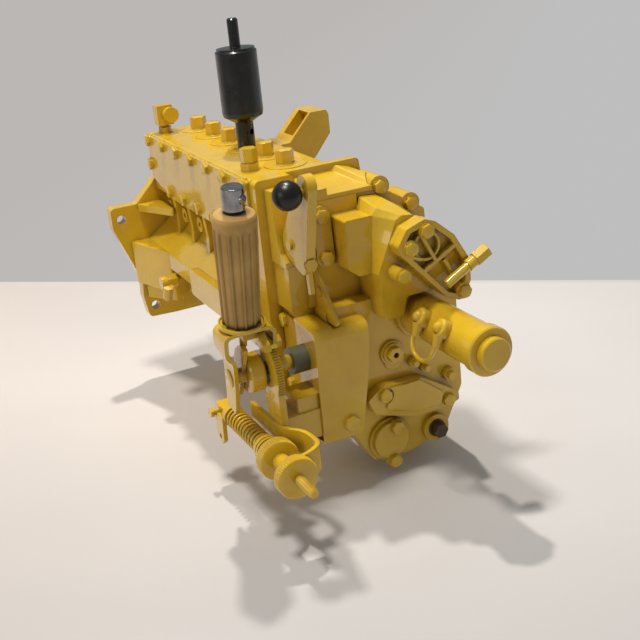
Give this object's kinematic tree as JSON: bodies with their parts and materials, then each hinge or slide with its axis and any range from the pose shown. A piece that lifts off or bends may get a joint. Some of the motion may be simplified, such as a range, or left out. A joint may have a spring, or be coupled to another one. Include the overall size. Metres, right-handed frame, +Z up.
{
  "type": "diesel injection pump",
  "caption": "Inline diesel injection pump with flange drive, governor, hand throttle with grip, shut-off lever, speed adjuster and shut-off solenoid.",
  "frame": {"origin": "centre of the drive flange's mounting face, on the camshaft axis", "axes": "+Y along the camshaft towards the engine, +Z up towards the outlets, +X towards the side away from the side cover"},
  "size_m": [0.3117, 0.668, 0.5155],
  "materials": {
    "yellow_paint": "gloss",
    "black_knob": "gloss",
    "bright_steel": "satin",
    "black_steel": "satin",
    "grey_seal": "satin",
    "brown_plug": "satin",
    "bare_steel": "machined"
  },
  "bodies": {
    "pump_body": {"access_strap": "yellow_paint", "adjuster_spring": "yellow_paint", "adjuster_strap": "yellow_paint", "bleed_elbow": "yellow_paint", "cover_bolts": "yellow_paint", "drain_plug": "brown_plug", "end_cover": "yellow_paint", "end_fitting": "yellow_paint", "governor_center_housing": "yellow_paint", "governor_front_housing": "yellow_paint", "governor_top_cover": "yellow_paint", "hex_fittings": "yellow_paint", "inspection_plugs": "yellow_paint", "jumper_wire": "yellow_paint", "lifting_adapter": "black_steel", "linkage_cover": "yellow_paint", "linkage_side_plate": "yellow_paint", "lube_elbow": "yellow_paint", "outlet_caps": "yellow_paint", "pump_barrels": "yellow_paint", "pump_housing": "yellow_paint", "ratchet_sector": "yellow_paint", "round_cover": "yellow_paint", "shaft_seal": "grey_seal", "side_cover": "yellow_paint", "solenoid_body": "yellow_paint", "support_lug": "yellow_paint", "terminal_boots": "yellow_paint", "throttle_bracket": "yellow_paint", "timing_plug": "yellow_paint", "top_plug": "yellow_paint", "transfer_cover": "yellow_paint"},
    "camshaft": {"camshaft": "bare_steel", "flyweight_carrier": "bare_steel"},
    "flyweight_1": {"flyweight_1": "bare_steel"},
    "flyweight_2": {"flyweight_2": "bare_steel"},
    "thrust_sleeve": {"thrust_sleeve": "bare_steel"},
    "rack": {"rack": "bare_steel"},
    "throttle": {"throttle_lever": "yellow_paint", "throttle_grip": "yellow_paint"},
    "release_button": {"release_button": "bright_steel"},
    "pawl": {"pawl": "yellow_paint"},
    "shutoff": {"shutoff_lever": "yellow_paint", "ball_knob": "black_knob"},
    "adjuster_rod": {"adjuster_rod": "yellow_paint"},
    "adjuster_wheel": {"adjuster_wheel": "yellow_paint"},
    "lock_wheel": {"lock_wheel": "yellow_paint"},
    "solenoid_plunger": {"solenoid_plunger": "bare_steel"},
    "lifter_1": {"lifter_1": "bare_steel"},
    "metering_gear_1": {"metering_gear_1": "bare_steel"},
    "lifter_2": {"lifter_2": "bare_steel"},
    "metering_gear_2": {"metering_gear_2": "bare_steel"},
    "lifter_3": {"lifter_3": "bare_steel"},
    "metering_gear_3": {"metering_gear_3": "bare_steel"},
    "lifter_4": {"lifter_4": "bare_steel"},
    "metering_gear_4": {"metering_gear_4": "bare_steel"},
    "lifter_5": {"lifter_5": "bare_steel"},
    "metering_gear_5": {"metering_gear_5": "bare_steel"},
    "lifter_6": {"lifter_6": "bare_steel"},
    "metering_gear_6": {"metering_gear_6": "bare_steel"}
  },
  "joints": [
    {"name": "camshaft_turn", "type": "hinge", "parent": "pump_body", "child": "camshaft", "pos_m": [0, 0, 0], "axis": [0, 1, 0], "continuous": true},
    {"name": "flyweight_1_swing", "type": "hinge", "parent": "camshaft", "child": "flyweight_1", "pos_m": [0, -0.406, 0.017], "axis": [-1, 0, 0], "range_deg": [0, 20]},
    {"name": "flyweight_2_swing", "type": "hinge", "parent": "camshaft", "child": "flyweight_2", "pos_m": [0, -0.406, -0.017], "axis": [1, 0, 0], "range_deg": [0, 20.5]},
    {"name": "thrust_sleeve_slide", "type": "slide", "parent": "camshaft", "child": "thrust_sleeve", "axis": [0, -1, 0], "range_m": [0, 0.003]},
    {"name": "rack_slide", "type": "slide", "parent": "pump_body", "child": "rack", "axis": [0, 1, 0], "range_m": [-0.006, 0.006]},
    {"name": "metering_gear_1_turn", "type": "hinge", "parent": "pump_body", "child": "metering_gear_1", "pos_m": [0, -0.0549, 0.137], "axis": [0, 0, 1], "range_deg": [-19.3, 19.3]},
    {"name": "lifter_1_stroke", "type": "slide", "parent": "pump_body", "child": "lifter_1", "axis": [0, 0, 1], "range_m": [0, 0.01]},
    {"name": "metering_gear_2_turn", "type": "hinge", "parent": "pump_body", "child": "metering_gear_2", "pos_m": [0, -0.11205, 0.137], "axis": [0, 0, 1], "range_deg": [-19.3, 19.3]},
    {"name": "lifter_2_stroke", "type": "slide", "parent": "pump_body", "child": "lifter_2", "axis": [0, 0, 1], "range_m": [0, 0.01]},
    {"name": "metering_gear_3_turn", "type": "hinge", "parent": "pump_body", "child": "metering_gear_3", "pos_m": [0, -0.1692, 0.137], "axis": [0, 0, 1], "range_deg": [-19.3, 19.3]},
    {"name": "lifter_3_stroke", "type": "slide", "parent": "pump_body", "child": "lifter_3", "axis": [0, 0, 1], "range_m": [0, 0.01]},
    {"name": "metering_gear_4_turn", "type": "hinge", "parent": "pump_body", "child": "metering_gear_4", "pos_m": [0, -0.22635, 0.137], "axis": [0, 0, 1], "range_deg": [-19.3, 19.3]},
    {"name": "lifter_4_stroke", "type": "slide", "parent": "pump_body", "child": "lifter_4", "axis": [0, 0, 1], "range_m": [0, 0.01]},
    {"name": "metering_gear_5_turn", "type": "hinge", "parent": "pump_body", "child": "metering_gear_5", "pos_m": [0, -0.2835, 0.137], "axis": [0, 0, 1], "range_deg": [-19.3, 19.3]},
    {"name": "lifter_5_stroke", "type": "slide", "parent": "pump_body", "child": "lifter_5", "axis": [0, 0, 1], "range_m": [0, 0.01]},
    {"name": "metering_gear_6_turn", "type": "hinge", "parent": "pump_body", "child": "metering_gear_6", "pos_m": [0, -0.34065, 0.137], "axis": [0, 0, 1], "range_deg": [-19.3, 19.3]},
    {"name": "lifter_6_stroke", "type": "slide", "parent": "pump_body", "child": "lifter_6", "axis": [0, 0, 1], "range_m": [0, 0.01]},
    {"name": "throttle_swing", "type": "hinge", "parent": "pump_body", "child": "throttle", "pos_m": [-0.12, -0.445, -0.012], "axis": [1, 0, 0], "range_deg": [-25, 45]},
    {"name": "button_press", "type": "slide", "parent": "throttle", "child": "release_button", "axis": [0, 0.1478, -0.989], "range_m": [0, 0.003], "stiffness_N_per_m": 1200, "springref_m": -0.002},
    {"name": "pawl_lift", "type": "hinge", "parent": "throttle", "child": "pawl", "pos_m": [-0.105, -0.46258, 0.03795], "axis": [-1, 0, 0], "range_deg": [0, 21.6]},
    {"name": "shutoff_swing", "type": "hinge", "parent": "pump_body", "child": "shutoff", "pos_m": [-0.0405, -0.437, 0.119], "axis": [1, 0, 0], "range_deg": [-35, 5]},
    {"name": "adjuster_wheel_turn", "type": "hinge", "parent": "pump_body", "child": "adjuster_wheel", "pos_m": [-0.12, -0.515, -0.088], "axis": [0, 1, 0], "range_deg": [0, 1440]},
    {"name": "lock_wheel_turn", "type": "hinge", "parent": "pump_body", "child": "lock_wheel", "pos_m": [-0.12, -0.558, -0.088], "axis": [0, 1, 0], "range_deg": [0, 1440]},
    {"name": "adjuster_rod_travel", "type": "slide", "parent": "pump_body", "child": "adjuster_rod", "axis": [0, -1, 0], "range_m": [0, 0.006], "deforming": ["adjuster_spring"]},
    {"name": "solenoid_plunger_pull", "type": "slide", "parent": "pump_body", "child": "solenoid_plunger", "axis": [0, -1, 0], "range_m": [0, 0.006], "stiffness_N_per_m": 800, "springref_m": -0.002}
  ],
  "couplings": [
    {"joint": "flyweight_2_swing", "follows": "flyweight_1_swing", "ratio": 1},
    {"joint": "thrust_sleeve_slide", "follows": "flyweight_1_swing", "m_per_rad": 0.0085},
    {"joint": "pawl_lift", "follows": "button_press", "rad_per_m": 125},
    {"joint": "lock_wheel_turn", "follows": "adjuster_wheel_turn", "ratio": 1},
    {"joint": "adjuster_rod_travel", "follows": "adjuster_wheel_turn", "m_per_rad": 0.00023873},
    {"joint": "metering_gear_1_turn", "follows": "rack_slide", "rad_per_m": -55.556},
    {"joint": "metering_gear_2_turn", "follows": "rack_slide", "rad_per_m": -55.556},
    {"joint": "metering_gear_3_turn", "follows": "rack_slide", "rad_per_m": -55.556},
    {"joint": "metering_gear_4_turn", "follows": "rack_slide", "rad_per_m": -55.556},
    {"joint": "metering_gear_5_turn", "follows": "rack_slide", "rad_per_m": -55.556},
    {"joint": "metering_gear_6_turn", "follows": "rack_slide", "rad_per_m": -55.556}
  ]
}
